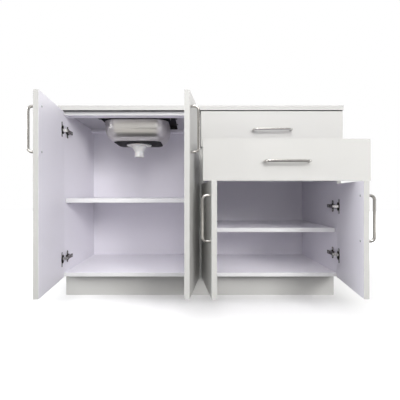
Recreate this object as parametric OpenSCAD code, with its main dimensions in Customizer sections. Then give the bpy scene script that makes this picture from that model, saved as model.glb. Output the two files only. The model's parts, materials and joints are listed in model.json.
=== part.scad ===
// Medical sink cabinet: a sink cupboard and a drawer cupboard under one worktop.
// Origin on the floor, at mid width and mid carcass depth. X to the right, Y to the back, Z up.
// Doors and the lower drawer are drawn as far open as they stand at rest.

/* [Carcass] */
// Overall width across both modules
cabinet_w = 1200; // [1000:10:1500]
// Depth of the carcass from front edge to rear edge
carcass_d = 450; // [440:5:600]
// Height of the carcass boxes above the plinth
carcass_h = 704; // [690:1:780]
// Thickness of the side panels
side_t = 18; // [16:1:20]
// Thickness of the floors and top boards
board_t = 16; // [14:1:18]
// Thickness of the back panels
back_t = 6; // [4:1:8]
// Empty space behind the back panels
back_void = 17; // [12:1:22]
// Depth of the grooves that hold the back panels
back_groove = 6; // [4:1:8]
// Depth of the rails across the top of the drawer module
rail_d = 90; // [60:5:120]

/* [Plinth] */
// Height of the plinth
plinth_h = 100; // [80:1:150]
// Setback of the plinth front, the toe space
toe_recess = 70; // [40:1:80]
// Thickness of the plinth boards
plinth_t = 18; // [15:1:22]
// Setback of the rear plinth board
plinth_rear_recess = 40; // [20:5:60]

/* [Worktop] */
// Thickness of the worktop
worktop_t = 20; // [18:1:30]
// Overhang of the worktop in front of the carcass
worktop_overhang = 24; // [20:1:40]

/* [Shelves] */
// Thickness of the shelves
shelf_t = 18; // [16:1:22]
// Height of the top of the sink module's shelf
sink_shelf_top = 433; // [380:1:460]
// Height of the top of the drawer module's shelf
drawer_shelf_top = 306; // [280:1:320]
// Setback of the shelves from the carcass front
shelf_setback = 15; // [5:1:30]
// Gap at each end and behind a shelf
shelf_gap = 1.5; // [0.5:0.5:3]
// Radius of a shelf pin
pin_r = 2.5; // [2:0.5:3]
// Length of a shelf pin in the side panel
pin_in = 8; // [6:1:10]
// Length of a shelf pin under the shelf
pin_out = 8; // [6:1:10]
// Distance of the pins from the shelf's front and rear edges
pin_inset = 40; // [30:5:80]

/* [Doors and drawer fronts] */
// Thickness of the doors and drawer fronts
front_t = 18; // [16:1:20]
// Gap between the fronts and the carcass
front_gap = 2; // [1.8:0.1:2.5]
// Reveal of a front at each edge of its module
reveal = 1.5; // [1.5:0.1:2]
// Gap between stacked fronts and below the worktop
stack_gap = 3; // [2:0.5:4]
// Height of a drawer front
drawer_front_h = 149.5; // [145:0.5:160]
// Opening angle of door 1, counted from closed
door_1_open = 84.3; // [0:0.1:100]
// Opening angle of door 2
door_2_open = 81.9; // [0:0.1:84]
// Opening angle of door 3
door_3_open = 85.3; // [0:0.1:90]
// Opening angle of door 4
door_4_open = 81.8; // [0:0.1:100]
// Distance that drawer 2 stands open
drawer_2_open = 211.3; // [0:0.1:380]

/* [Handles] */
// Radius of a handle's bar
handle_r = 5; // [4:0.5:6]
// Distance between a handle's two screws
handle_cc = 156; // [128:1:192]
// Distance from the front to the middle of the bar
handle_out = 27; // [25:1:30]
// Radius of the bar's bends, at its middle line
handle_bend = 14; // [10:1:16]
// Distance of a door handle from the door's free edge
handle_inset = 30; // [25:1:40]
// Distance from a door's top edge to its upper handle screw
handle_down = 49.5; // [40:0.5:70]
// Drop of a drawer handle below the middle of its front
handle_drop = 6; // [0:1:12]
// Radius of a handle screw's shank
handle_screw_r = 2; // [2:0.5:2.5]

/* [Hinges] */
// Distance of the hinge axis from the door's hinge edge
pivot_in = 7.1; // [6.8:0.1:7.3]
// Distance of the hinge axis in front of the door's inner face
pivot_out = 14; // [13.8:0.1:14.2]
// Distance of the hinges from the ends of a tall door
tall_hinge_inset = 80; // [70:1:110]
// Distance of the hinges from the ends of a short door
short_hinge_inset = 96; // [80:1:110]
// Radius of the hinge cup
cup_r = 17.4; // [17.2:0.1:17.5]
// Depth of the hinge cup
cup_depth = 11.5; // [11.5:0.1:12.5]
// Distance of the cup's middle from the door's hinge edge
cup_in = 22.5; // [22:0.1:23]
// Wall of the pressed cup
cup_wall = 0.9; // [0.8:0.1:1]
// Thickness of the cup's flange
flange_t = 1.2; // [1:0.1:1.4]
// Distance between the cup's two screws
cup_screw_cc = 48; // [45:1:52]
// Distance between a mounting plate's two screws
plate_screw_cc = 32; // [32:1:36]
// Distance of the plate screws from the carcass front
plate_line = 37; // [35:1:40]
// Length of the link between arm and cup
link_l = 21; // [20:0.5:22]
// Angle that the link turns for each degree of the door
link_ratio = 0.44; // [0.42:0.01:0.46]

/* [Drawers] */
// Gap between a closed drawer's box and the back panel
box_rear_gap = 29; // [20:1:80]
// Height of a drawer box
box_h = 110; // [90:1:115]
// Thickness of a drawer box's walls
box_t = 16; // [12:1:18]
// Height of the drawer box above the lower edge of its front
box_up = 12.5; // [10:0.5:20]
// Thickness of a drawer's bottom panel
bottom_t = 6; // [3:1:8]
// Height of the bottom panel above the box's lower edge
bottom_up = 12; // [8:1:20]
// Depth of the grooves that hold the bottom panel
bottom_groove = 6; // [4:1:8]
// Space for a slide on each side of a drawer box
slide_w = 13; // [12.5:0.1:14]
// Height of a slide
slide_h = 45; // [42:1:48]

/* [Sink] */
// Distance of the sink's middle to the right of its module's middle
sink_shift = 12; // [-20:1:20]
// Outer width of the bowl
bowl_w = 290; // [260:1:320]
// Outer size of the bowl from front to back
bowl_l = 240; // [220:1:250]
// Depth of the bowl below the worktop's top
bowl_h = 134; // [110:1:180]
// Outer radius of the bowl's corners and lower edges
bowl_r = 60; // [40:1:70]
// Sheet thickness of the sink
sheet_t = 1.2; // [0.8:0.1:2]
// Width of the rim at each side of the bowl
rim_side = 46; // [42:1:60]
// Width of the rim in front of the bowl
rim_front = 28; // [22:1:40]
// Width of the ledge behind the bowl
rim_ledge = 102; // [96:1:110]
// Outer radius of the rim's corners
rim_r = 40; // [30:1:45]
// Distance of the bowl's front from the carcass front
bowl_front = 55; // [45:1:65]
// Gap between the bowl and the worktop's cut edge in front
cut_front = 5; // [3:1:8]
// Gap between the bowl and the worktop's cut edge at each side
cut_side = 31; // [25:1:34]
// Gap between the bowl and the worktop's cut edge behind
cut_rear = 88; // [80:1:92]
// Corner radius of the worktop's cut-out
cut_r = 12; // [10:1:20]
// Gap between the front rail and the bowl behind it
rail_gap = 4.5; // [3:0.5:10]
// Depth of the rail behind the sink
sink_rail_d = 48; // [40:1:60]

/* [Waste] */
// Radius of the drain hole in the bowl
drain_r = 30; // [25:1:33]
// Radius of the waste's clamping flange
waste_flange_r = 58.5; // [50:0.5:70]
// Outer radius of the waste's body under the flange
waste_body_r = 36; // [34:1:38]
// Outer radius of the waste's tail
waste_tail_r = 22; // [18:0.5:25]
// Height of the whole waste below the gasket
waste_h = 58; // [50:1:80]
// Wall of the waste
waste_wall = 2.5; // [2:0.5:4]
// Thickness of the gasket
gasket_t = 3; // [2:0.5:5]
// Thickness of the sound pad
pad_t = 3; // [2:0.5:3]
// Distance of the sound pad's left and right edges inside the bowl's sides
pad_side_inset = 36; // [28:1:42]
// Distance of the sound pad's front and rear edges inside the bowl's front and rear
pad_end_inset = 41; // [30:1:45]

/* [Hidden] */
$fn = 48;
half_w = cabinet_w / 2;
front_y = -carcass_d / 2;
carcass_top = plinth_h + carcass_h;
worktop_top = carcass_top + worktop_t;
inner_w = half_w - 2 * side_t;
back_y = carcass_d - back_void - back_t;
ceiling_z = carcass_top - board_t;
box_d = back_y + front_gap - box_rear_gap;

// Clearances: how far a cut runs past a face, the lap of joined shapes, the hairline between boards
// that meet end to face, the running fit of a pin and the free fit of a screw
over = 1;
touch = 0.01;
seam = 0.1;
fit_r = 0.05;
hole_r_gap = 0.25;

// Fronts, counted from the top of the stack
fronts_top = carcass_top - stack_gap;
drawer_1_z = fronts_top - drawer_front_h;
drawer_2_z = drawer_1_z - stack_gap - drawer_front_h;
short_top = drawer_2_z - stack_gap;
door_w = (half_w - 2 * reveal - stack_gap) / 2;
front_w = half_w - 2 * reveal;

// Doors 1 to 4 from left to right; a hand of 1 hangs the door on its left edge
door_hand = [1, -1, 1, -1];
door_edge = [reveal - half_w, -reveal, reveal, half_w - reveal];
door_open = [door_1_open, door_2_open, door_3_open, door_4_open];
door_top = [fronts_top, fronts_top, short_top, short_top];
door_inset = [tall_hinge_inset, tall_hinge_inset, short_hinge_inset, short_hinge_inset];
function hinge_heights(i) = [plinth_h + door_inset[i], door_top[i] - door_inset[i]];
function handle_heights(i) = [door_top[i] - handle_down - handle_cc, door_top[i] - handle_down];
handle_x = door_w - handle_inset;

// Hinge, in the frame of a closed left hung door: x from its hinge edge, y from the carcass front
pivot_y = -front_gap - pivot_out;
face_x = side_t - reveal;
arm_pin_reach = 27.4;
arm_pin_rise = 10;
arm_pin = [pivot_in + arm_pin_reach, pivot_y + arm_pin_rise];
cup_pin_reach = 2.6;
cup_pin_rise = 10.3;
cup_pin = [pivot_in + cup_pin_reach, pivot_y + cup_pin_rise];
cup_pin_r = 1.2;
nose_r = 2.6;
link_hub_r = 2.4;
pin_rod_r = 1.5;
link_half = 5.2;
link_t = 2;
link_start = 186;
link_end_r = 1.6;
cheek_in = 5.8;
cheek_t = 1.4;
arm_half = cheek_in + cheek_t;
plate_t = 2.5;
web_t = 1.5;
arm_rise = 13;
arm_depth = 4;
arm_tail = 27;
arm_end = plate_line + arm_tail;
crank_front = 21;
arm_crank = plate_line - crank_front;
nose_bend = 2;
mitre = 0.3;
plate_l = 36;
plate_w = 16;
plate_front = 17;
ridge_half = 5;
ridge_front = 13;
wing_r = 6;
flange_out = 1.6;
cup_screw_back = 9.5;
cup_screw_x = cup_in + cup_screw_back;
cup_screw_r = 1.75;
plate_screw_r = 2;
plate_head_r = 3.8;
arm_head_r = 4;
arm_screw_y = 14;
low_head_h = 1.8;
screw_in = 11;
screw_spare = 1;
leg_l = handle_out - handle_bend;
leg_end = 3;
handle_screw_l = front_t + leg_l - leg_end - screw_spare;

// Slides, in the frame of a side panel's face: x away from the face
slide_wall = 1.4;
slide_play = 0.3;
slide_middle_x = 2.6;
slide_front = 3;
slide_gap = 2.6;
cabinet_lip = 8;
middle_lip = 7.5;
middle_short = 10;
lip_play = 1;
cage_w = 4;
cage_l = 120;
cage_end = 20;

// Sink
sink_x = -half_w / 2 + sink_shift;
sink_y = front_y + bowl_front + bowl_l / 2;
bowl_z = worktop_top - bowl_h;
gasket_z = bowl_z - gasket_t;
band_h = 1;
pad_gap = 1.5;
strainer_lap = 12;
strainer_play = 0.3;
clip_w = 22;
clip_t = 1.5;
clip_grip = 8;

side_x = [-half_w, -side_t, 0, half_w - side_t];
side_inner = [side_t - half_w, -side_t, side_t, half_w - side_t];
side_dir = [1, -1, 1, -1];
shelf_top_z = [sink_shelf_top, sink_shelf_top, drawer_shelf_top, drawer_shelf_top];
pin_ys = [front_y + shelf_setback + pin_inset, front_y + back_y - shelf_gap - pin_inset];

board_colour = [0.93, 0.93, 0.92];
inside_colour = [0.88, 0.87, 0.92];
steel_colour = [0.72, 0.71, 0.69];
nickel_colour = [0.62, 0.6, 0.56];
zinc_colour = [0.7, 0.72, 0.74];

// A flat plate with round corners, its lower face at z = 0
module rounded_plate(w, l, r, h) {
    translate([-w / 2 + r, -l / 2, 0]) cube([w - 2 * r, l, h]);
    translate([-w / 2, -l / 2 + r, 0]) cube([w, l - 2 * r, h]);
    for (x = [-w / 2 + r, w / 2 - r])
        for (y = [-l / 2 + r, l / 2 - r])
            translate([x, y, 0]) cylinder(r = r, h = h);
}

// A bar along X at z = 0 that is wanted from x0 to x1
module bore_x(x0, x1, r) {
    translate([x0, 0, 0]) rotate([0, 90, 0]) cylinder(r = r, h = x1 - x0);
}

// A bar along Y that starts at y0 and runs back to y1
module bore_y(y0, y1, r) {
    translate([0, y1, 0]) rotate([90, 0, 0]) cylinder(r = r, h = y1 - y0);
}

// Worktop with the cut-out for the bowl
module worktop() {
    color(board_colour)
        difference() {
            translate([-half_w, front_y - worktop_overhang, carcass_top])
                cube([cabinet_w, carcass_d + worktop_overhang, worktop_t]);
            translate([sink_x, sink_y + (cut_rear - cut_front) / 2, carcass_top - over])
                rounded_plate(bowl_w + 2 * cut_side, cut_front + bowl_l + cut_rear,
                    cut_r, worktop_t + 2 * over);
        }
}

// Side panel i, counted from the left, with its back groove, shelf pin holes and screw holes
module side_panel(i) {
    face = side_inner[i];
    dir = side_dir[i];
    color(board_colour)
        difference() {
            translate([side_x[i], front_y, plinth_h]) cube([side_t, carcass_d, carcass_h]);
            translate([dir > 0 ? face - back_groove : face - over, front_y + back_y, plinth_h - over])
                cube([back_groove + over, back_t, carcass_h + 2 * over]);
            for (y = pin_ys)
                translate([face, y, shelf_top_z[i] - shelf_t - pin_r])
                    mirror([dir > 0 ? 0 : 1, 0, 0])
                        bore_x(-pin_in, over, pin_r + fit_r);
            for (z = hinge_heights(i))
                for (s = [-1, 1])
                    translate([face, front_y + plate_line, z + s * plate_screw_cc / 2])
                        mirror([dir > 0 ? 0 : 1, 0, 0])
                            bore_x(-screw_in, over, plate_screw_r + fit_r);
        }
}

// A board between the sides of the module whose left edge is at x
module between_sides(x, y, d, z, t) {
    color(inside_colour) translate([x + side_t, y, z]) cube([inner_w, d, t]);
}

module sink_floor() {
    between_sides(-half_w, front_y, back_y, plinth_h, board_t);
}

module drawer_floor() {
    between_sides(0, front_y, back_y, plinth_h, board_t);
}

// Flat rail in front of the bowl
module sink_front_rail() {
    between_sides(-half_w, front_y, bowl_front - rail_gap, ceiling_z, board_t);
}

// Rail behind the sink and the two rails over the drawers
module top_rails() {
    between_sides(-half_w, front_y + back_y - sink_rail_d, sink_rail_d, ceiling_z, board_t);
    between_sides(0, front_y, rail_d, ceiling_z, board_t);
    between_sides(0, front_y + back_y - rail_d, rail_d, ceiling_z, board_t);
}

// Back panel in the grooves of the module whose left edge is at x
module back_panel(x) {
    color(inside_colour)
        translate([x + side_t - back_groove, front_y + back_y, plinth_h])
            cube([inner_w + 2 * back_groove, back_t, carcass_h]);
}

module plinth_front() {
    color(board_colour)
        translate([-half_w, front_y + toe_recess, 0]) cube([cabinet_w, plinth_t, plinth_h]);
}

// Rear board and three cross boards behind the plinth front
module plinth_inner_boards() {
    cross_y = front_y + toe_recess + plinth_t;
    rear_y = -front_y - plinth_rear_recess - plinth_t;
    color(board_colour) {
        translate([-half_w, rear_y, 0]) cube([cabinet_w, plinth_t, plinth_h]);
        for (x = [-half_w, -plinth_t / 2, half_w - plinth_t])
            translate([x, cross_y + seam, 0])
                cube([plinth_t, rear_y - cross_y - 2 * seam, plinth_h]);
    }
}

// Loose shelf of the module whose left edge is at x
module shelf(x, top) {
    color(inside_colour)
        translate([x + side_t + shelf_gap, front_y + shelf_setback, top - shelf_t])
            cube([inner_w - 2 * shelf_gap, back_y - shelf_setback - shelf_gap, shelf_t]);
}

// Four pins under each shelf
module shelf_pins() {
    color(zinc_colour)
        for (i = [0:3])
            for (y = pin_ys)
                translate([side_inner[i], y, shelf_top_z[i] - shelf_t - pin_r])
                    mirror([side_dir[i] > 0 ? 0 : 1, 0, 0])
                        bore_x(-pin_in, pin_out, pin_r);
}

// Puts a closed left hung door's frame on door i, mirrored where the door hangs on its right
module at_hinge(i) {
    translate([door_edge[i], front_y, 0])
        mirror([door_hand[i] > 0 ? 0 : 1, 0, 0])
            children();
}

// Turns door i open about its hinge axis
module swung(i) {
    at_hinge(i)
        translate([pivot_in, pivot_y, 0])
            rotate([0, 0, -door_open[i]])
                translate([-pivot_in, -pivot_y, 0])
                    children();
}

// Door i with cup pockets and screw holes
module door_panel(i) {
    inner_y = -front_gap;
    color(board_colour)
        swung(i)
            difference() {
                translate([0, inner_y - front_t, plinth_h])
                    cube([door_w, front_t, door_top[i] - plinth_h]);
                for (z = hinge_heights(i)) {
                    translate([cup_in, 0, z])
                        bore_y(inner_y - cup_depth, over, cup_r + fit_r);
                    for (s = [-1, 1])
                        translate([cup_screw_x, 0, z + s * cup_screw_cc / 2])
                            bore_y(inner_y - screw_in, over, cup_screw_r + fit_r);
                }
                for (z = handle_heights(i))
                    translate([handle_x, 0, z])
                        bore_y(inner_y - front_t - over, over, handle_screw_r + hole_r_gap);
            }
}

// Handle of bent round bar along X, screwed to a face at y = 0 and standing out to -y
module d_handle() {
    leg = handle_cc / 2;
    color(steel_colour)
        difference() {
            union() {
                translate([0, -handle_out, 0])
                    bore_x(-leg + handle_bend, leg - handle_bend, handle_r);
                for (s = [-1, 1]) {
                    translate([s * leg, 0, 0]) bore_y(-leg_l, 0, handle_r);
                    translate([s * (leg - handle_bend), -leg_l, 0])
                        rotate([0, 0, s > 0 ? -90 : 180])
                            rotate_extrude(angle = 90)
                                translate([handle_bend, 0]) circle(r = handle_r);
                }
            }
            for (s = [-1, 1])
                translate([s * leg, 0, 0])
                    bore_y(leg_end - leg_l, over, handle_screw_r + fit_r);
        }
}

module door_handle(i) {
    middle = (handle_heights(i)[0] + handle_heights(i)[1]) / 2;
    swung(i)
        translate([handle_x, -front_gap - front_t, middle])
            rotate([0, 90, 0]) d_handle();
}

// Pan head screw whose head sits on a face at y = 0 and whose shank runs to -length
module pan_screw(head_r, shank_r, length) {
    head_h = head_r / 2;
    color(zinc_colour) {
        bore_y(0, head_h, head_r);
        bore_y(-length, touch, shank_r);
    }
}

// Handle screws and cup screws of door i
module door_screws(i) {
    swung(i) {
        for (z = handle_heights(i))
            translate([handle_x, -front_gap, z])
                pan_screw(2 * handle_screw_r, handle_screw_r, handle_screw_l);
        for (z = hinge_heights(i))
            for (s = [-1, 1])
                translate([cup_screw_x, flange_t - front_gap, z + s * cup_screw_cc / 2])
                    pan_screw(2 * cup_screw_r, cup_screw_r, screw_in + flange_t - screw_spare);
    }
}

// Pressed cup at height 0 with flange wings and a mouth notched for the link
module hinge_cup() {
    face = -front_gap;
    ring_r = cup_r + flange_out;
    difference() {
        union() {
            translate([cup_in, 0, 0]) bore_y(face - cup_depth, face + touch, cup_r);
            translate([cup_in, 0, 0]) bore_y(face, face + flange_t, ring_r);
            translate([cup_screw_x - wing_r, face, -cup_screw_cc / 2])
                cube([2 * wing_r, flange_t, cup_screw_cc]);
            for (s = [-1, 1])
                translate([cup_screw_x, 0, s * cup_screw_cc / 2])
                    bore_y(face, face + flange_t, wing_r + over);
        }
        translate([cup_in, 0, 0])
            bore_y(face - cup_depth + cup_wall, over, cup_r - cup_wall);
        translate([0, face, -arm_half - over])
            cube([cup_in - ring_r / 2, flange_t + over, 2 * (arm_half + over)]);
        for (s = [-1, 1])
            translate([cup_screw_x, 0, s * cup_screw_cc / 2])
                bore_y(face - over, over, cup_screw_r + fit_r);
    }
}

// Cups of door i, each with the pin across it that the link's end lies against
module hinge_cups(i) {
    wall_r = cup_r - cup_wall / 2;
    pin_half = sqrt(pow(wall_r, 2) - pow(cup_in - cup_pin[0], 2));
    color(nickel_colour)
        swung(i)
            for (z = hinge_heights(i))
                translate([0, 0, z]) {
                    hinge_cup();
                    translate([cup_pin[0], cup_pin[1], -pin_half])
                        cylinder(r = cup_pin_r, h = 2 * pin_half);
                }
}

// Links that swing on the arms' pins; their other ends stay inside the cups
module hinge_links(i) {
    color(nickel_colour)
        at_hinge(i)
            for (z = hinge_heights(i))
                translate([arm_pin[0], arm_pin[1], z - link_half])
                    rotate([0, 0, link_start + link_ratio * door_open[i]])
                        difference() {
                            union() {
                                cylinder(r = link_hub_r, h = 2 * link_half);
                                translate([0, -link_t / 2, 0]) cube([link_l, link_t, 2 * link_half]);
                                translate([link_l, 0, 0]) cylinder(r = link_end_r, h = 2 * link_half);
                            }
                            translate([0, 0, -over])
                                cylinder(r = pin_rod_r + fit_r, h = 2 * (link_half + over));
                        }
}

// Cranked channel arm with the link's pin across its nose, at height 0
module hinge_arm() {
    top_x = face_x + arm_rise + web_t;
    under_x = top_x - web_t;
    low_x = under_x - arm_depth;
    far_x = arm_pin[0] + nose_r;
    near_x = arm_pin[0] - nose_r;
    for (z = [-arm_half, cheek_in])
        translate([0, 0, z])
            linear_extrude(cheek_t) {
                polygon([[low_x, arm_end], [top_x, arm_end], [top_x, arm_crank],
                    [far_x, nose_bend], [far_x, arm_pin[1]], [near_x, arm_pin[1]],
                    [near_x, -nose_bend / 2], [low_x, arm_crank - nose_bend]]);
                translate(arm_pin) circle(r = nose_r);
            }
    translate([0, 0, -arm_half])
        linear_extrude(2 * arm_half)
            polygon([[under_x, arm_end], [top_x, arm_end], [top_x, arm_crank],
                [far_x, nose_bend], [far_x, 0], [far_x - web_t, 0],
                [far_x - web_t, nose_bend - mitre], [under_x, arm_crank - mitre]]);
    translate([arm_pin[0], arm_pin[1], -arm_half]) cylinder(r = pin_rod_r, h = 2 * arm_half);
}

module hinge_arms() {
    color(nickel_colour)
        for (i = [0:3])
            at_hinge(i)
                for (z = hinge_heights(i))
                    translate([0, 0, z])
                        hinge_arm();
}

// Cross shaped plate on the side panel, with a ridge that carries the arm
module hinge_mounting_plates() {
    wing_z = (plate_screw_cc + wing_r) / 2;
    color(nickel_colour)
        for (i = [0:3])
            at_hinge(i)
                for (z = hinge_heights(i))
                    translate([face_x, plate_line, z])
                        difference() {
                            union() {
                                translate([0, -plate_front, -plate_w / 2])
                                    cube([plate_t, plate_l, plate_w]);
                                translate([0, -wing_r, -wing_z]) cube([plate_t, 2 * wing_r, 2 * wing_z]);
                                for (s = [-1, 1])
                                    translate([0, 0, s * wing_z]) bore_x(0, plate_t, wing_r);
                                translate([plate_t - touch, -ridge_front, -ridge_half])
                                    cube([arm_rise - plate_t + touch, plate_l, 2 * ridge_half]);
                            }
                            for (s = [-1, 1])
                                translate([0, 0, s * plate_screw_cc / 2])
                                    bore_x(-over, plate_t + over, plate_screw_r + hole_r_gap);
                        }
}

// Two screws through each mounting plate and one on each arm
module hinge_plate_screws() {
    color(zinc_colour)
        for (i = [0:3])
            at_hinge(i)
                for (z = hinge_heights(i))
                    translate([face_x, plate_line, z]) {
                        for (s = [-1, 1])
                            translate([plate_t, 0, s * plate_screw_cc / 2]) {
                                bore_x(0, low_head_h, plate_head_r);
                                bore_x(screw_spare - plate_t - screw_in, touch, plate_screw_r);
                            }
                        translate([arm_rise + web_t, arm_screw_y, 0])
                            bore_x(0, low_head_h, arm_head_r);
                    }
}

// C shaped channel along Y: web at x, open to the side dir, height h
module channel(x, dir, h, lip, y, l) {
    w0 = dir > 0 ? x : x - slide_wall;
    l0 = dir > 0 ? x : x - lip;
    translate([w0, y, -h / 2]) cube([slide_wall, l, h]);
    for (z = [-h / 2, h / 2 - slide_wall])
        translate([l0, y, z]) cube([lip, l, slide_wall]);
}

// Draws children on both inner faces of the drawer module, x away from the face
module both_slides(z) {
    for (i = [2, 3])
        translate([side_inner[i], front_y, z])
            mirror([side_dir[i] > 0 ? 0 : 1, 0, 0])
                children();
}

function slide_z(front_z) = front_z + box_up + box_h / 2;

// Cabinet members of the four slides
module slide_cabinet_members() {
    color(zinc_colour)
        for (z = [drawer_1_z, drawer_2_z])
            both_slides(slide_z(z))
                channel(0, 1, slide_h, cabinet_lip, slide_front, box_d);
}

// Middle members and their ball cages, drawn out by half the drawer's travel
module slide_middles(front_z, out) {
    middle_h = slide_h - 2 * (slide_wall + slide_gap);
    inner_h = middle_h - 2 * (slide_wall + slide_gap);
    cage_h = slide_gap - slide_play;
    middle_l = box_d - middle_short;
    color(zinc_colour)
        both_slides(slide_z(front_z))
            translate([0, -out / 2, 0]) {
                channel(slide_middle_x, 1, middle_h, middle_lip, slide_front, middle_l);
                for (y = [slide_front + cage_end, slide_front + middle_l - cage_end - cage_l])
                    for (z = [middle_h / 2, -middle_h / 2 - cage_h,
                        inner_h / 2 + slide_play, -inner_h / 2 - slide_gap])
                        translate([slide_middle_x + slide_wall + touch, y, z])
                            cube([cage_w, cage_l, cage_h]);
            }
}

// Drawer members, screwed to the drawer box
module slide_inners(front_z, out) {
    inner_h = slide_h - 4 * (slide_wall + slide_gap);
    color(zinc_colour)
        both_slides(slide_z(front_z))
            translate([0, -out, 0])
                channel(slide_w, -1, inner_h, slide_w - slide_middle_x - slide_wall - lip_play,
                    slide_front, box_d - slide_front - front_gap);
}

// Puts the closed drawer's frame where it stands: x from the module's middle, y from the carcass front
module drawn(out) {
    translate([half_w / 2, front_y - out, 0]) children();
}

function drawer_handle_z(front_z) = front_z + drawer_front_h / 2 - handle_drop;

module drawer_front(front_z, out) {
    color(board_colour)
        drawn(out)
            difference() {
                translate([-front_w / 2, -front_gap - front_t, front_z])
                    cube([front_w, front_t, drawer_front_h]);
                for (s = [-1, 1])
                    translate([s * handle_cc / 2, 0, drawer_handle_z(front_z)])
                        bore_y(-front_gap - front_t - over, over, handle_screw_r + hole_r_gap);
            }
}

module drawer_handle(front_z, out) {
    drawn(out)
        translate([0, -front_gap - front_t, drawer_handle_z(front_z)]) d_handle();
}

module drawer_screws(front_z, out) {
    drawn(out)
        for (s = [-1, 1])
            translate([s * handle_cc / 2, -front_gap, drawer_handle_z(front_z)])
                pan_screw(2 * handle_screw_r, handle_screw_r, handle_screw_l);
}

// Two side walls and a back wall, grooved for the bottom
module drawer_walls(front_z, out) {
    box_w = inner_w - 2 * slide_w;
    z0 = front_z + box_up;
    color(inside_colour)
        drawn(out)
            difference() {
                union() {
                    for (x = [-box_w / 2, box_w / 2 - box_t])
                        translate([x, -front_gap, z0]) cube([box_t, box_d, box_h]);
                    translate([-box_w / 2 + box_t + seam, box_d - front_gap - box_t, z0])
                        cube([box_w - 2 * box_t - 2 * seam, box_t, box_h]);
                }
                drawer_bottom_board(z0);
            }
}

module drawer_bottom_board(z0) {
    bottom_w = inner_w - 2 * slide_w - 2 * box_t + 2 * bottom_groove;
    translate([-bottom_w / 2, -front_gap, z0 + bottom_up])
        cube([bottom_w, box_d - box_t + bottom_groove, bottom_t]);
}

module drawer_bottom(front_z, out) {
    color(inside_colour) drawn(out) drawer_bottom_board(front_z + box_up);
}

// Closed form of the bowl, made larger or smaller all round by grow
module bowl_form(grow, top) {
    r = bowl_r + grow;
    dx = bowl_w / 2 - bowl_r;
    dy = bowl_l / 2 - bowl_r;
    hull()
        for (x = [-dx, dx])
            for (y = [-dy, dy])
                translate([sink_x + x, sink_y + y, 0]) {
                    translate([0, 0, bowl_z + bowl_r]) sphere(r = r, $fn = 32);
                    translate([0, 0, bowl_z - grow])
                        cylinder(r = bowl_r / 10, h = band_h / 2, $fn = 32);
                    translate([0, 0, top - band_h]) cylinder(r = r, h = band_h, $fn = 32);
                }
}

// Pressed sink: bowl, rim and rear ledge on the worktop, and drain hole
module sink_bowl() {
    color(steel_colour)
        difference() {
            union() {
                bowl_form(0, worktop_top + sheet_t);
                translate([sink_x, sink_y + (rim_ledge - rim_front) / 2, worktop_top])
                    rounded_plate(bowl_w + 2 * rim_side, rim_front + bowl_l + rim_ledge,
                        rim_r, sheet_t);
            }
            bowl_form(-sheet_t, worktop_top + sheet_t + 2 * over);
            translate([sink_x, sink_y, bowl_z - over]) cylinder(r = drain_r, h = sheet_t + 2 * over);
        }
}

// Black pad glued under the bowl and up its rounded foot, open round the waste
module sound_pad() {
    color([0.1, 0.1, 0.11])
        intersection() {
            difference() {
                bowl_form(pad_t, bowl_z + bowl_r);
                bowl_form(0, bowl_z + bowl_r + over);
            }
            translate([sink_x, sink_y, bowl_z - pad_t - over])
                difference() {
                    rounded_plate(bowl_w - 2 * pad_side_inset, bowl_l - 2 * pad_end_inset,
                        bowl_r / 2, bowl_r / 2);
                    translate([0, 0, -over])
                        cylinder(r = waste_flange_r + pad_gap, h = bowl_r);
                }
        }
}

// Angle clips under the rim's sides that grip the worktop from below, two on each side
module sink_clips() {
    color(zinc_colour)
        for (s = [-1, 1])
            for (y = [-bowl_l / 6, bowl_l / 3])
                translate([sink_x + s * (bowl_w / 2 + cut_side), sink_y + y - clip_w / 2, carcass_top])
                    mirror([s > 0 ? 0 : 1, 0, 0])
                        translate([-clip_t, 0, -clip_t]) {
                            cube([clip_t, clip_w, worktop_t + clip_t]);
                            cube([clip_t + clip_grip, clip_w, clip_t]);
                        }
}

// Steel strainer: flange on the bowl's floor, sleeve and pierced grid
module waste_strainer() {
    flange_r = drain_r + strainer_lap;
    sleeve_r = drain_r - strainer_play;
    sleeve_h = 14;
    sleeve_wall = 1.2;
    grid_t = 1.5;
    grid_hole_r = 2.5;
    color(steel_colour)
        translate([sink_x, sink_y, bowl_z + sheet_t])
            difference() {
                union() {
                    cylinder(r = flange_r, h = sheet_t);
                    translate([0, 0, -sleeve_h]) cylinder(r = sleeve_r, h = sleeve_h + touch);
                }
                translate([0, 0, grid_t - sleeve_h])
                    cylinder(r = sleeve_r - sleeve_wall, h = sleeve_h + sheet_t);
                for (ring = [1, 2])
                    for (k = [0:6 * ring - 1])
                        rotate([0, 0, k * 60 / ring])
                            translate([ring * sleeve_r / 3, 0, -sleeve_h - over])
                                cylinder(r = grid_hole_r, h = grid_t + 2 * over, $fn = 24);
            }
}

// Rubber ring between the bowl and the waste's flange
module waste_gasket() {
    edge = 2.5;
    color([0.12, 0.12, 0.12])
        translate([sink_x, sink_y, gasket_z])
            difference() {
                cylinder(r = waste_flange_r - edge, h = gasket_t);
                translate([0, 0, -over]) cylinder(r = drain_r + over, h = gasket_t + 2 * over);
            }
}

// White moulded waste: flange, cone and tail in one hollow turning
module waste_body() {
    flange_h = 4;
    neck_h = 8;
    cone_h = 20;
    cone_top = -flange_h - neck_h;
    cone_low = cone_top - cone_h;
    body_in = waste_body_r - waste_wall;
    tail_in = waste_tail_r - waste_wall;
    color([0.95, 0.95, 0.94])
        translate([sink_x, sink_y, gasket_z])
            rotate_extrude()
                polygon([
                    [body_in, 0], [waste_flange_r, 0], [waste_flange_r, -flange_h],
                    [waste_body_r, -flange_h], [waste_body_r, cone_top], [waste_tail_r, cone_low],
                    [waste_tail_r, -waste_h], [tail_in, -waste_h], [tail_in, cone_low],
                    [body_in, cone_top]
                ]);
}

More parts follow.
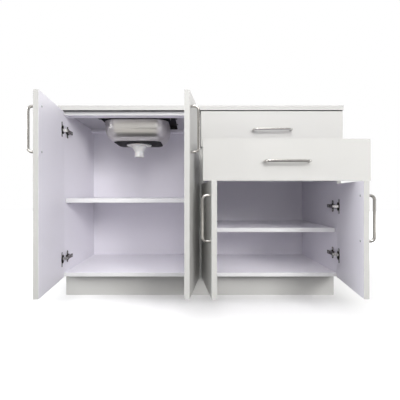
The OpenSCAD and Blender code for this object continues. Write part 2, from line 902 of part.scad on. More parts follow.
worktop();
side_panel(0);  // left_side
side_panel(1);  // sink_inner_side
side_panel(2);  // drawer_inner_side
side_panel(3);  // right_side
sink_floor();
drawer_floor();
sink_front_rail();
top_rails();
back_panel(-half_w);  // sink_back
back_panel(0);  // drawer_back
plinth_front();
plinth_inner_boards();
shelf(-half_w, sink_shelf_top);  // sink_shelf
shelf(0, drawer_shelf_top);  // drawer_shelf
shelf_pins();
hinge_arms();
hinge_mounting_plates();
hinge_plate_screws();
slide_cabinet_members();
sink_bowl();
sound_pad();
sink_clips();
waste_strainer();
waste_gasket();
waste_body();
door_panel(0);  // door_1_panel
door_handle(0);  // door_1_handle
door_screws(0);  // door_1_screws
hinge_cups(0);  // door_1_hinge_cups
hinge_links(0);  // door_1_hinge_links
door_panel(1);  // door_2_panel
door_handle(1);  // door_2_handle
door_screws(1);  // door_2_screws
hinge_cups(1);  // door_2_hinge_cups
hinge_links(1);  // door_2_hinge_links
door_panel(2);  // door_3_panel
door_handle(2);  // door_3_handle
door_screws(2);  // door_3_screws
hinge_cups(2);  // door_3_hinge_cups
hinge_links(2);  // door_3_hinge_links
door_panel(3);  // door_4_panel
door_handle(3);  // door_4_handle
door_screws(3);  // door_4_screws
hinge_cups(3);  // door_4_hinge_cups
hinge_links(3);  // door_4_hinge_links
drawer_front(drawer_1_z, 0);  // drawer_1_front
drawer_walls(drawer_1_z, 0);  // drawer_1_walls
drawer_bottom(drawer_1_z, 0);  // drawer_1_bottom
drawer_handle(drawer_1_z, 0);  // drawer_1_handle
drawer_screws(drawer_1_z, 0);  // drawer_1_screws
slide_inners(drawer_1_z, 0);  // drawer_1_slide_inners
slide_middles(drawer_1_z, 0);  // drawer_1_slide_middles
drawer_front(drawer_2_z, drawer_2_open);  // drawer_2_front
drawer_walls(drawer_2_z, drawer_2_open);  // drawer_2_walls
drawer_bottom(drawer_2_z, drawer_2_open);  // drawer_2_bottom
drawer_handle(drawer_2_z, drawer_2_open);  // drawer_2_handle
drawer_screws(drawer_2_z, drawer_2_open);  // drawer_2_screws
slide_inners(drawer_2_z, drawer_2_open);  // drawer_2_slide_inners
slide_middles(drawer_2_z, drawer_2_open);  // drawer_2_slide_middles
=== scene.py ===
import json
import math
import bpy
from mathutils import Matrix, Vector

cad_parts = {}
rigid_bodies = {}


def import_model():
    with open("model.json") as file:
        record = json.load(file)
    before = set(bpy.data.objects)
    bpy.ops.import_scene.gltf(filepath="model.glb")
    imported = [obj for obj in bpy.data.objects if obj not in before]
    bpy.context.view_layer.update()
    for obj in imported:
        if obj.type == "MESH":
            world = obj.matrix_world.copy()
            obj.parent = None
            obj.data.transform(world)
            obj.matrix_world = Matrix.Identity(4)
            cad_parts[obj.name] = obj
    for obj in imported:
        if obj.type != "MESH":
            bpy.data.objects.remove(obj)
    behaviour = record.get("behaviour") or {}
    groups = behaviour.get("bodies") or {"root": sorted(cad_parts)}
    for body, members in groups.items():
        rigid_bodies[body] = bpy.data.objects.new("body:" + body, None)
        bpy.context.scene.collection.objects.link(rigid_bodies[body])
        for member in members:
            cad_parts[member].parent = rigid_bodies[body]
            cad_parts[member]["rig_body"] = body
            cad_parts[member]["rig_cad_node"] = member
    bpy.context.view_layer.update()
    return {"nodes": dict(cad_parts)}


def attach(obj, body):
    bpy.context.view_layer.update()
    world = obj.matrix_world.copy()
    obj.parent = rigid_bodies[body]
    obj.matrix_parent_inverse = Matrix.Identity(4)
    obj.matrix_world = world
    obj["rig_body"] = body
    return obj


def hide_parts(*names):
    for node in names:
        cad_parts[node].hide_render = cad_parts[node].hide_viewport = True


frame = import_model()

mm = 0.001

# The view: a level camera a little to the left of the joint between the two boxes, near enough
# that the open doors spread outwards. The shift only frames the picture as the photo is framed.
eye = (-42.6 * mm, -1606.4 * mm, 449.5 * mm)
level = (math.radians(90), 0, 0)
bpy.ops.object.select_all(action="DESELECT")
bpy.ops.object.camera_add(location=eye, rotation=level)
camera = bpy.context.object
camera.name = "photo_camera"
camera.data.lens = 29.13
camera.data.shift_x = 0.0240
camera.data.shift_y = -0.0134
camera.data.clip_start = 0.05
bpy.context.scene.camera = camera
bpy.context.scene.view_settings.view_transform = "Standard"


# Studio: the camera sees white paper behind the cabinet. Bright metal mirrors a glow that grows
# from low down to overhead, as under a lit ceiling, and all else gets a faint even glow.
def ramp_over(tree, source, *stops, blend="LINEAR"):
    """A colour ramp through the stops, each a place and a colour, that the source reads off."""
    ramp = tree.nodes.new("ShaderNodeValToRGB")
    ramp.color_ramp.interpolation = blend
    marks = ramp.color_ramp.elements
    for mark, (place, colour) in zip(marks, (stops[0], stops[-1])):
        mark.position = place
        mark.color = (*colour, 1)
    for place, colour in stops[1:-1]:
        marks.new(place).color = (*colour, 1)
    tree.links.new(source, ramp.inputs["Fac"])
    return ramp.outputs["Color"]


def one_of(tree, choice, if_not, if_so):
    """One shader where the choice is 0 and the other where it is 1."""
    mix = tree.nodes.new("ShaderNodeMixShader")
    tree.links.new(choice, mix.inputs["Fac"])
    tree.links.new(if_not, mix.inputs[1])
    tree.links.new(if_so, mix.inputs[2])
    return mix.outputs["Shader"]


def grey(tone):
    """A colour without a tint."""
    return (tone, tone, tone)


studio = bpy.data.worlds.new("white_studio")
studio.use_nodes = True
bpy.context.scene.world = studio
sky = studio.node_tree
even_glow = sky.nodes["Background"]
even_glow.inputs["Color"].default_value = (0.93, 0.95, 1.0, 1)
even_glow.inputs["Strength"].default_value = 0.2
paper = sky.nodes.new("ShaderNodeBackground")
paper.inputs["Color"].default_value = (1, 1, 1, 1)
ceiling_glow = sky.nodes.new("ShaderNodeBackground")
direction = sky.nodes.new("ShaderNodeTexCoord")
height = sky.nodes.new("ShaderNodeSeparateXYZ")
sky.links.new(direction.outputs["Generated"], height.inputs["Vector"])
brighter_above = ramp_over(sky, height.outputs["Z"], (0.22, grey(0.2)), (0.5, grey(0.95)))
sky.links.new(brighter_above, ceiling_glow.inputs["Color"])
ray = sky.nodes.new("ShaderNodeLightPath")
around = one_of(sky, ray.outputs["Is Glossy Ray"],
                even_glow.outputs["Background"], ceiling_glow.outputs["Background"])
behind = one_of(sky, ray.outputs["Is Camera Ray"], around, paper.outputs["Background"])
sky.links.new(behind, sky.nodes["World Output"].inputs["Surface"])


# Lights: soft boxes in front, at both sides, overhead and behind. Two of those in front are kept
# out of the metal, which would otherwise show them as hard white squares.
def soft_light(name, place, aim, size, power, tint, mirrored=True):
    """A square soft box at a place, turned to face the aim; bright metal may be kept from mirroring it."""
    turn = (Vector(aim) - Vector(place)).to_track_quat("-Z", "Y").to_euler()
    bpy.ops.object.light_add(type="AREA", location=place, rotation=turn)
    lamp = bpy.context.object
    lamp.name = name
    lamp.data.size = size
    lamp.data.energy = power
    lamp.data.color = tint
    lamp.visible_glossy = mirrored


aim_front, aim_middle = (0, -0.2, 0.45), (0, 0, 0.4)
warm, cool = (1.0, 0.99, 0.97), (0.98, 0.99, 1.0)
soft_light("front_box", (0.0, -3.81, 1.62), aim_front, 1.2, 22.5, warm, False)
soft_light("front_right_box", (1.7, -3.39, 1.62), aim_front, 1.2, 74, warm, False)
soft_light("front_left_wall", (-1.8, -3.3, 1.25), (-1.8, 0, 1.25), 2.2, 8, (1.0, 0.96, 0.92))
soft_light("high_front_box", (0.2, -3.42, 2.46), aim_front, 1.6, 21, warm)
soft_light("steep_box", (-0.5, -2.9, 3.0), aim_front, 1.8, 31, (1.0, 0.99, 0.98))
soft_light("left_side_box", (-3.2, -1.0, 1.3), aim_middle, 1.8, 82, cool)
soft_light("right_side_box", (3.2, -1.0, 0.7), aim_middle, 1.8, 17, (0.99, 0.99, 1.0))
soft_light("overhead_box", (0.0, -0.9, 3.2), (0, -0.9, 0), 2.0, 25, (1.0, 1.0, 1.0))
soft_light("rear_box", (0.9, 3.4, 2.0), aim_middle, 2.4, 38, warm)


# Floor: a pale sheet with a painted glow that fades to white away from the plinth, leaving a painted
# shadow next to it. It throws back less light than the camera sees on it, and metal mirrors a painted
# glow in it, dark near the plinth and pale further out.
bpy.ops.mesh.primitive_plane_add(size=14, location=(0, 0, 0))
floor = bpy.context.object
floor.name = "studio_floor"
floor_paint = bpy.data.materials.new("pale_floor_painted_shadow")
floor_paint.use_nodes = True
ground = floor_paint.node_tree
seen_sheet = ground.nodes["Principled BSDF"]
seen_sheet.inputs["Base Color"].default_value = (*grey(0.9), 1)
seen_sheet.inputs["Roughness"].default_value = 0.7
seen_sheet.inputs["Emission Strength"].default_value = 1.0
# Painted shadow: the glow is nil inside this box round the cabinet and grows over the reach.
painted_shadow_core, fade_reach = (0.56, 0.18, 0), 3.5
away = ground.nodes.new("ShaderNodeTexCoord").outputs["Object"]
for sum_kind, by in (("ABSOLUTE", grey(0)), ("SUBTRACT", painted_shadow_core),
                     ("MAXIMUM", grey(0)), ("LENGTH", grey(0))):
    step = ground.nodes.new("ShaderNodeVectorMath")
    step.operation = sum_kind
    step.inputs[1].default_value = by
    ground.links.new(away, step.inputs[0])
    away = step.outputs["Value" if sum_kind == "LENGTH" else "Vector"]
share = ground.nodes.new("ShaderNodeMath")
share.operation = "DIVIDE"
share.inputs[1].default_value = fade_reach
ground.links.new(away, share.inputs[0])
away = share.outputs["Value"]
painted_glow = ramp_over(ground, away, (0, grey(0)), (0.045, grey(0.16)), (0.35, grey(0.5)), (1, grey(1)),
                 blend="EASE")
ground.links.new(painted_glow, seen_sheet.inputs["Emission Color"])
dull_sheet = ground.nodes.new("ShaderNodeBsdfDiffuse")
dull_sheet.inputs["Color"].default_value = (*grey(0.35), 1)
# Painted reflection: what metal sees in the floor glows dark near the plinth and pale further out.
painted_reflection_glow = ground.nodes.new("ShaderNodeEmission")
ground.links.new(ramp_over(ground, away, (0.19, grey(0.10)), (0.34, (0.80, 0.78, 0.75))),
                 painted_reflection_glow.inputs["Color"])
ray = ground.nodes.new("ShaderNodeLightPath")
thrown = one_of(ground, ray.outputs["Is Glossy Ray"],
                dull_sheet.outputs["BSDF"], painted_reflection_glow.outputs["Emission"])
shown = one_of(ground, ray.outputs["Is Camera Ray"], thrown, seen_sheet.outputs["BSDF"])
ground.links.new(shown, ground.nodes["Material Output"].inputs["Surface"])
floor.data.materials.append(floor_paint)


# Carcass boards: white faced chipboard, four sides, two floors and four rails screwed into two
# boxes, the cut edges closed by glued edging. Faces turned inwards are a cooler white, painted
# much paler than the room's white as painted light that lifts the shade inside the boxes.
def alone(thing):
    """Only this thing is selected and active."""
    if bpy.context.mode != "OBJECT":
        bpy.ops.object.mode_set(mode="OBJECT")
    bpy.ops.object.select_all(action="DESELECT")
    thing.select_set(True)
    bpy.context.view_layer.objects.active = thing


def finish_with(thing, kind, **how):
    """One modifier with its settings, applied at once."""
    alone(thing)
    step = thing.modifiers.new(kind.lower(), kind)
    for key, value in how.items():
        setattr(step, key, value)
    bpy.ops.object.modifier_apply(modifier=step.name)


def shaded(thing):
    """Curved walls are shaded smooth, and true corners stay sharp."""
    alone(thing)
    bpy.ops.object.shade_smooth_by_angle(angle=math.radians(32))


def ease(thing, width, angle=40):
    """Edges sharper than the angle get a small round, and curved walls are shaded smooth."""
    finish_with(thing, "BEVEL", width=width, segments=2, limit_method="ANGLE",
                angle_limit=math.radians(angle), use_clamp_overlap=False, harden_normals=False)
    shaded(thing)
    finish_with(thing, "WEIGHTED_NORMAL", weight=100, keep_sharp=True)


def cut_like(node, name):
    """A copy of the frame's own solid with its loose triangles merged and its flat faces joined."""
    alone(frame["nodes"][node])
    bpy.ops.object.duplicate()
    twin = bpy.context.object
    twin.name = twin.data.name = name
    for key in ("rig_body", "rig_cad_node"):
        if key in twin:
            del twin[key]
    bpy.ops.object.parent_clear(type="CLEAR_KEEP_TRANSFORM")
    twin.data.materials.clear()
    bpy.ops.object.mode_set(mode="EDIT")
    bpy.ops.mesh.select_all(action="SELECT")
    bpy.ops.mesh.remove_doubles(threshold=0.02 * mm)
    bpy.ops.mesh.dissolve_limited(angle_limit=math.radians(1))
    bpy.ops.object.mode_set(mode="OBJECT")
    return twin


def coats(thing, finishes, choose=None):
    """The thing gets its finishes, and choose(centre, normal) says which one a face takes."""
    thing.data.materials.clear()
    for finish in finishes:
        thing.data.materials.append(finish)
    if choose:
        for face in thing.data.polygons:
            face.material_index = choose(face.center, face.normal)


def pattern(paint, kind, size, stretch, **settings):
    """A pattern over the thing's own coordinates; size is how many times it repeats in a metre."""
    tree = paint.node_tree
    where = tree.nodes.new("ShaderNodeTexCoord")
    spread = tree.nodes.new("ShaderNodeMapping")
    spread.inputs["Scale"].default_value = stretch
    made = tree.nodes.new(kind)
    made.inputs["Scale"].default_value = size
    for key, value in settings.items():
        made.inputs[key].default_value = value
    tree.links.new(where.outputs["Object"], spread.inputs["Vector"])
    tree.links.new(spread.outputs["Vector"], made.inputs["Vector"])
    return made.outputs[0]


def clouds(paint, size, stretch=(1, 1, 1), **settings):
    """Soft patches without an edge, drawn out to streaks by the stretch."""
    return pattern(paint, "ShaderNodeTexNoise", size, stretch, **settings)


def tinted(paint, source, dark, light, low=0.35, high=0.65):
    """The pattern turns from the dark to the light colour and feeds the shader's colour."""
    tree = paint.node_tree
    tree.links.new(ramp_over(tree, source, (low, dark), (high, light)),
                   tree.nodes["Principled BSDF"].inputs["Base Color"])


def rubbed(paint, source, smooth, rough):
    """The pattern sets the roughness between two values."""
    tree = paint.node_tree
    span = tree.nodes.new("ShaderNodeMapRange")
    span.inputs["To Min"].default_value = smooth
    span.inputs["To Max"].default_value = rough
    tree.links.new(source, span.inputs["Value"])
    tree.links.new(span.outputs["Result"], tree.nodes["Principled BSDF"].inputs["Roughness"])


def relief(paint, source, height, strength):
    """The pattern raises the surface by a height in metres; a second call adds to the first."""
    tree = paint.node_tree
    bump = tree.nodes.new("ShaderNodeBump")
    bump.inputs["Strength"].default_value = strength
    bump.inputs["Distance"].default_value = height
    normal = tree.nodes["Principled BSDF"].inputs["Normal"]
    if normal.is_linked:
        tree.links.new(normal.links[0].from_socket, bump.inputs["Normal"])
    tree.links.new(source, bump.inputs["Height"])
    tree.links.new(bump.outputs["Normal"], normal)


def finish_named(name, **fixed):
    """A new material with the values that are the same all over it."""
    paint = bpy.data.materials.new(name)
    paint.use_nodes = True
    shader = paint.node_tree.nodes["Principled BSDF"]
    for key, value in fixed.items():
        shader.inputs[key.replace("_", " ")].default_value = value
    return paint


def melamine(name, dark, light, smooth=0.36, rough=0.5):
    """Printed paper pressed on board: a faint cloud of tone, a pearl grain, and wiped patches."""
    paint = finish_named(name)
    tinted(paint, clouds(paint, 2.2, Detail=3.0), dark, light)
    rubbed(paint, clouds(paint, 14, Detail=4.0, Roughness=0.6), smooth, rough)
    relief(paint, clouds(paint, 900, Detail=2.0), 0.06 * mm, 0.35)
    relief(paint, clouds(paint, 9, Detail=1.0), 0.4 * mm, 0.12)
    return paint


def board(node, body, finishes, choose, width=0.6 * mm):
    """A board of the carcass, a door or a drawer, in place of its plain solid."""
    piece = cut_like(node, node + "_board")
    coats(piece, finishes, choose)
    ease(piece, width)
    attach(piece, body)
    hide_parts(node)


room_white, inner_painted_light, edge_strip = 0, 1, 2
white_face = melamine("white_melamine_face", (0.520, 0.518, 0.506), (0.545, 0.542, 0.531))
# Painted light: the inner white is much paler than the room's white of the same board, to lift the shade
# inside the boxes; its cool tint is its own.
inside_white_painted_light = melamine("white_melamine_inside_painted_light", (0.852, 0.834, 0.897), (0.875, 0.856, 0.921))
white_edging = melamine("white_edging", (0.483, 0.483, 0.471), (0.506, 0.506, 0.494), 0.28, 0.36)
boards = [white_face, inside_white_painted_light, white_edging]


def two_sided(outward):
    """The room's white on the side turned outwards, the inner white with its painted light on the other,
    edging between.
    """
    def choose(centre, normal):
        facing = normal.dot(outward)
        return room_white if facing > 0.7 else inner_painted_light if facing < -0.7 else edge_strip
    return choose


def front_edged(centre, normal):
    """Edging, the second finish, on a board's front edge only."""
    return 1 if normal.y < -0.5 else 0


front_line = -220 * mm


def rail_edged(centre, normal):
    """Edging on the front edge of a rail that stands at the carcass front."""
    return 1 if normal.y < -0.5 and centre.y < front_line else 0


left, right = Vector((-1, 0, 0)), Vector((1, 0, 0))
for node, outward in (("left_side", left), ("sink_inner_side", right),
                      ("drawer_inner_side", left), ("right_side", right)):
    board(node, "carcass", boards, two_sided(outward))
# Painted light: floors and shelves take a paler copy of the inner white, and they and the rails a paler
# edging at the front, where the light falls on them.
front_edge_painted_light = melamine("inside_edging_painted_light", (0.707, 0.707, 0.717), (0.735, 0.735, 0.746), 0.28, 0.36)
floor_shelf_painted_light = melamine("white_melamine_shelf_painted_light", (0.915, 0.9, 0.955), (0.93, 0.915, 0.965), 0.3, 0.42)
for node in ("sink_floor", "drawer_floor"):
    board(node, "carcass", [floor_shelf_painted_light, front_edge_painted_light], front_edged)
for node in ("sink_front_rail", "top_rails"):
    board(node, "carcass", [inside_white_painted_light, front_edge_painted_light], rail_edged)


# Backs: thin painted hardboard slid into grooves of the sides, white to the inside and bare
# brown fibre at the rear.
def cells(paint, size):
    """Small rounded lumps side by side."""
    return pattern(paint, "ShaderNodeTexVoronoi", size, (1, 1, 1))


hardboard = finish_named("bare_hardboard")
tinted(hardboard, clouds(hardboard, 160, Detail=6.0, Roughness=0.7),
       (0.20, 0.115, 0.06), (0.33, 0.21, 0.12), 0.3, 0.7)
rubbed(hardboard, clouds(hardboard, 30, Detail=3.0), 0.6, 0.8)
relief(hardboard, cells(hardboard, 420), 0.2 * mm, 0.4)
for node in ("sink_back", "drawer_back"):
    board(node, "carcass", [inside_white_painted_light, hardboard], lambda centre, normal: 1 if normal.y > 0.5 else 0,
          0.3 * mm)


# Plinth: boards set on edge under the boxes, the front one well back from the doors as a toe
# space. The same white faced board as the sides, screwed from within.
for node in ("plinth_front", "plinth_inner_boards"):
    board(node, "carcass", boards,
          lambda centre, normal: edge_strip if abs(normal.z) > 0.5 else room_white)


# Worktop: one thick board with a hard white laminate and edging on all four sides, laid on both
# boxes and cut out for the bowl, where its chipboard edge is painted black as the shade in the
# cut-out. Underneath, the front overhang is painted near black and the rest grey: painted shade.
laminate = finish_named("white_laminate", Coat_Weight=0.15, Coat_Roughness=0.25)
tinted(laminate, clouds(laminate, 3, Detail=3.0), (0.521, 0.521, 0.512), (0.549, 0.549, 0.539))
rubbed(laminate, clouds(laminate, 22, Detail=5.0, Roughness=0.65), 0.3, 0.44)
relief(laminate, clouds(laminate, 1100, Detail=2.0), 0.05 * mm, 0.4)

# Painted shade: the cut-out's edge is painted black, with a chipboard grain, for the deep shade between bowl
# and worktop.
cut_edge_painted_shade = finish_named("black_cut_edge_painted_shade", Specular_IOR_Level=0.22)
tinted(cut_edge_painted_shade, cells(cut_edge_painted_shade, 380), grey(0.012), (0.045, 0.042, 0.04), 0.1, 0.7)
rubbed(cut_edge_painted_shade, clouds(cut_edge_painted_shade, 200), 0.6, 0.9)
relief(cut_edge_painted_shade, cells(cut_edge_painted_shade, 380), 0.6 * mm, 0.6)

# Painted shade: the underside of the front overhang is painted near black for the shade under it.
overhang_painted_shade = finish_named("dark_overhang_painted_shade")
tinted(overhang_painted_shade, clouds(overhang_painted_shade, 5, Detail=4.0), (0.05, 0.05, 0.052), (0.075, 0.075, 0.078))
rubbed(overhang_painted_shade, clouds(overhang_painted_shade, 40, Detail=4.0), 0.55, 0.75)
relief(overhang_painted_shade, clouds(overhang_painted_shade, 600, Detail=2.0), 0.08 * mm, 0.4)

# Painted shade: the worktop's underside inside the boxes is painted grey for the shade there.
ceiling_painted_shade = melamine("white_melamine_ceiling_painted_shade", (0.446, 0.437, 0.473), (0.470, 0.460, 0.498))
overhang_shade_line = -226 * mm
rim_x, rim_low_y, rim_high_y = 598 * mm, -247 * mm, 223 * mm


def worktop_side(centre, normal):
    """Laminate above; below, white paper painted grey as shade and a near-black strip painted as the shade
    under the overhang; edging round; black painted shade in the cut-out.
    """
    if abs(normal.z) > 0.5:
        return 0 if normal.z > 0 else 3 if centre.y < overhang_shade_line else 4
    return 2 if abs(centre.x) < rim_x and rim_low_y < centre.y < rim_high_y else 1


def split_at(thing, place, across):
    """The faces are divided where a plane passes through them."""
    alone(thing)
    bpy.ops.object.mode_set(mode="EDIT")
    bpy.ops.mesh.select_all(action="SELECT")
    bpy.ops.mesh.bisect(plane_co=place, plane_no=across)
    bpy.ops.object.mode_set(mode="OBJECT")


top_board = cut_like("worktop", "worktop_slab")
split_at(top_board, (0, overhang_shade_line, 0), (0, 1, 0))
coats(top_board, [laminate, white_edging, cut_edge_painted_shade, overhang_painted_shade, ceiling_painted_shade], worktop_side)
ease(top_board, 0.9 * mm)
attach(top_board, "carcass")
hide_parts("worktop")


# Shelves: loose boards edged at the front, laid on four pins each. The pins are turned steel
# pegs pushed into drilled holes.
# The shelves take the paler copies of the inner white and edging: painted light.
for node in ("sink_shelf", "drawer_shelf"):
    board(node, "carcass", [floor_shelf_painted_light, front_edge_painted_light], front_edged, 0.8 * mm)


def plated(name, dark, light, smooth, rough, grain=500, stretch=(1, 1, 1), height=0.04 * mm):
    """Plated steel: slight clouds in the plating, fine drawn lines, uneven polish."""
    paint = finish_named(name, Metallic=1.0)
    tinted(paint, clouds(paint, 55, Detail=4.0), dark, light, 0.3, 0.7)
    rubbed(paint, clouds(paint, 130, Detail=5.0, Roughness=0.6), smooth, rough)
    relief(paint, clouds(paint, grain, stretch, Detail=2.0), height, 0.3)
    return paint


pin_zinc = plated("pin_zinc", (0.5, 0.51, 0.52), (0.66, 0.67, 0.68), 0.28, 0.42)
pins = cut_like("shelf_pins", "shelf_pegs")
coats(pins, [pin_zinc])
ease(pins, 0.5 * mm)
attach(pins, "carcass")
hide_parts("shelf_pins")


# Sink: one sheet of stainless steel pressed to a deep bowl with round corners, a flat rim and a
# rear ledge that lie on the worktop. Brushed along its length, and painted black under the rim and
# round the top of its wall, as painted shade where it meets the worktop.
sink_x, sink_y = -288 * mm, -50 * mm
bowl_wide, bowl_long = 290 * mm, 240 * mm
bowl_foot, bowl_lip = 690 * mm, 824 * mm
bowl_round, lip_round = 60 * mm, 5 * mm
rim_side, rim_front, rim_ledge, rim_round = 46 * mm, 28 * mm, 102 * mm, 40 * mm
sheet = 1.2 * mm
drain_r, drain_bore = 30 * mm, 12 * mm
rim_shade_line = 784 * mm


def settle(thing):
    """The thing's place, turn and size go into its mesh."""
    alone(thing)
    bpy.ops.object.transform_apply(location=True, rotation=True, scale=True)


def block(centre, size, turn=0):
    """A plain block to shape further or to cut with."""
    bpy.ops.object.select_all(action="DESELECT")
    bpy.ops.mesh.primitive_cube_add(size=1, location=centre, rotation=(0, 0, turn), scale=size)
    made = bpy.context.object
    settle(made)
    return made


def keep_only(thing, wanted, kind):
    """Points or edges are selected where wanted(place, normal or ends) holds, the rest are not."""
    alone(thing)
    bpy.ops.object.mode_set(mode="EDIT")
    bpy.ops.mesh.select_mode(type=kind)
    bpy.ops.mesh.select_all(action="DESELECT")
    bpy.ops.object.mode_set(mode="OBJECT")
    points = thing.data.vertices
    if kind == "VERT":
        for point in points:
            point.select = wanted(point.co, point.normal)
    else:
        for edge in thing.data.edges:
            a, b = (points[v].co for v in edge.vertices)
            edge.select = wanted((a + b) / 2, (a, b))
    bpy.ops.object.mode_set(mode="EDIT")


def bowl_skin(name, grow, top):
    """The bowl's outer skin, larger all round by grow and open at the top, where the block is cut off."""
    cut_off = 20 * mm
    low, high = bowl_foot - grow, top + cut_off
    skin = block((sink_x, sink_y, (low + high) / 2), (bowl_wide + 2 * grow, bowl_long + 2 * grow, high - low))
    skin.name = skin.data.name = name
    keep_only(skin, lambda middle, ends: min(end.z for end in ends) < top, "EDGE")
    bpy.ops.mesh.bevel(offset=bowl_round + grow, offset_type="OFFSET", segments=14, profile=0.5)
    bpy.ops.mesh.select_all(action="SELECT")
    bpy.ops.mesh.bisect(plane_co=(0, 0, top), plane_no=(0, 0, 1), clear_outer=True)
    bpy.ops.object.mode_set(mode="OBJECT")
    return skin


def close_doubles(threshold=0.01 * mm, inside=False):
    """Points that meet are merged and the faces turned one way, and edit mode is left."""
    bpy.ops.mesh.select_all(action="SELECT")
    bpy.ops.mesh.remove_doubles(threshold=threshold)
    bpy.ops.mesh.normals_make_consistent(inside=inside)
    bpy.ops.object.mode_set(mode="OBJECT")


def at_lip(point):
    """A point at the height of the bowl's lip or above."""
    return point.z > bowl_lip - 0.01 * mm


def on_bend(middle, ends):
    """An edge of the line where the bowl's wall meets the rim."""
    half_x, half_y = bowl_wide / 2 + 0.5 * mm, bowl_long / 2 + 0.5 * mm
    return all(at_lip(end) and abs(end.x - sink_x) < half_x and abs(end.y - sink_y) < half_y for end in ends)


bowl = bowl_skin("sink_pressing", 0, bowl_lip)
rim_up = 1 * mm
keep_only(bowl, lambda middle, ends: all(at_lip(end) for end in ends), "EDGE")
bpy.ops.mesh.extrude_region_move(TRANSFORM_OT_translate={"value": (0, 0, rim_up)})
tighter = rim_round / bowl_round
for sx in (-1, 1):
    for sy, reach in ((-1, rim_front), (1, rim_ledge)):
        keep_only(bowl, lambda point, normal: (point.z > bowl_lip + rim_up / 2 and (point.x - sink_x) * sx > 0
                                               and (point.y - sink_y) * sy > 0), "VERT")
        corner = (sink_x + sx * bowl_wide / 2, sink_y + sy * bowl_long / 2, bowl_lip)
        bpy.ops.transform.resize(value=(tighter, tighter, 1), center_override=corner)
        bpy.ops.transform.translate(value=(sx * rim_side, sy * reach, -rim_up))
keep_only(bowl, on_bend, "EDGE")
bpy.ops.mesh.bevel(offset=lip_round, offset_type="OFFSET", segments=5, profile=0.5)
# The skin is the sheet's lower face, so it looks down and outwards before it gets its thickness.
close_doubles(inside=True)
split_at(bowl, (0, 0, rim_shade_line), (0, 0, 1))
finish_with(bowl, "SOLIDIFY", thickness=sheet, offset=-1)


def bored(thing, x, y, z, radius, depth, steps=48):
    """A round hole straight down through the thing, made with a rod that is taken away again."""
    bpy.ops.object.select_all(action="DESELECT")
    bpy.ops.mesh.primitive_cylinder_add(vertices=steps, radius=radius, depth=depth, location=(x, y, z))
    rod = bpy.context.object
    settle(rod)
    finish_with(thing, "BOOLEAN", operation="DIFFERENCE", object=rod, solver="EXACT")
    bpy.data.objects.remove(rod)


bored(bowl, sink_x, sink_y, bowl_foot, drain_r, drain_bore)
ease(bowl, 0.35 * mm, 50)
brushed = finish_named("brushed_sink_steel", Metallic=1.0)
tinted(brushed, clouds(brushed, 1, (7, 260, 260), Detail=5.0),
       (0.558, 0.544, 0.525), (0.651, 0.637, 0.618), 0.3, 0.7)
rubbed(brushed, clouds(brushed, 1, (12, 700, 700), Detail=4.0), 0.24, 0.34)
relief(brushed, clouds(brushed, 1, (9, 1200, 1200), Detail=3.0), 0.01 * mm, 0.3)
# Painted shade: the black under the rim and round the wall's top stands in for the shade in the gap at the
# worktop.
rim_painted_shade = finish_named("black_rim_painted_shade", Specular_IOR_Level=0.22)
tinted(rim_painted_shade, clouds(rim_painted_shade, 140, Detail=5.0), grey(0.012), grey(0.03))
rubbed(rim_painted_shade, clouds(rim_painted_shade, 70, Detail=3.0), 0.6, 0.85)
relief(rim_painted_shade, clouds(rim_painted_shade, 420, Detail=3.0), 0.4 * mm, 0.5)


def in_rim_shade(centre, normal):
    """Painted shade: black under the rim and on the outside of the wall down to the shade's line."""
    outward = (centre.x - sink_x) * normal.x + (centre.y - sink_y) * normal.y
    return 1 if centre.z > rim_shade_line and (normal.z < -0.9 or (abs(normal.z) < 0.3 and outward > 0)) else 0


coats(bowl, [brushed, rim_painted_shade], in_rim_shade)
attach(bowl, "carcass")
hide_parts("sink_bowl")


# Sound pad: a black bitumen sheet glued to the bowl's underside, round in its corners, following
# the bowl up where its foot curves, and open round the waste.
pad_wide, pad_long, pad_thick, pad_round = 218 * mm, 158 * mm, 3 * mm, 30 * mm
pad_mid, pad_high, pad_hole_r, pad_skin_top = 700 * mm, 60 * mm, 60 * mm, 740 * mm
pad = bowl_skin("bitumen_pad", pad_thick, pad_skin_top)
finish_with(pad, "SOLIDIFY", thickness=pad_thick, offset=-1)
stamp = block((sink_x, sink_y, pad_mid), (pad_wide, pad_long, pad_high))
keep_only(stamp, lambda middle, ends: abs(ends[0].z - ends[1].z) > pad_high / 2, "EDGE")
bpy.ops.mesh.bevel(offset=pad_round, offset_type="OFFSET", segments=12, profile=0.5)
bpy.ops.object.mode_set(mode="OBJECT")
finish_with(pad, "BOOLEAN", operation="INTERSECT", object=stamp, solver="EXACT")
bpy.data.objects.remove(stamp)
bored(pad, sink_x, sink_y, pad_mid, pad_hole_r, pad_high, 64)
bitumen = finish_named("black_bitumen", Specular_IOR_Level=0.25)
tinted(bitumen, clouds(bitumen, 90, Detail=5.0), (0.006, 0.006, 0.0065), (0.014, 0.014, 0.015))
rubbed(bitumen, clouds(bitumen, 60, Detail=4.0), 0.55, 0.85)
relief(bitumen, cells(bitumen, 260), 0.3 * mm, 0.5)
coats(pad, [bitumen])
ease(pad, 0.6 * mm, 50)
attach(pad, "carcass")
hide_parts("sound_pad")


# Clips: four bent steel angles under the rim's sides, painted near black as the shade they stand in,
# whose feet grip the worktop from below.
clip_painted_shade = plated("clip_steel_painted_shade", (0.05, 0.055, 0.05), (0.10, 0.11, 0.10), 0.35, 0.5)
clips = cut_like("sink_clips", "hold_down_clips")
coats(clips, [clip_painted_shade])
ease(clips, 0.35 * mm)
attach(clips, "carcass")
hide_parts("sink_clips")


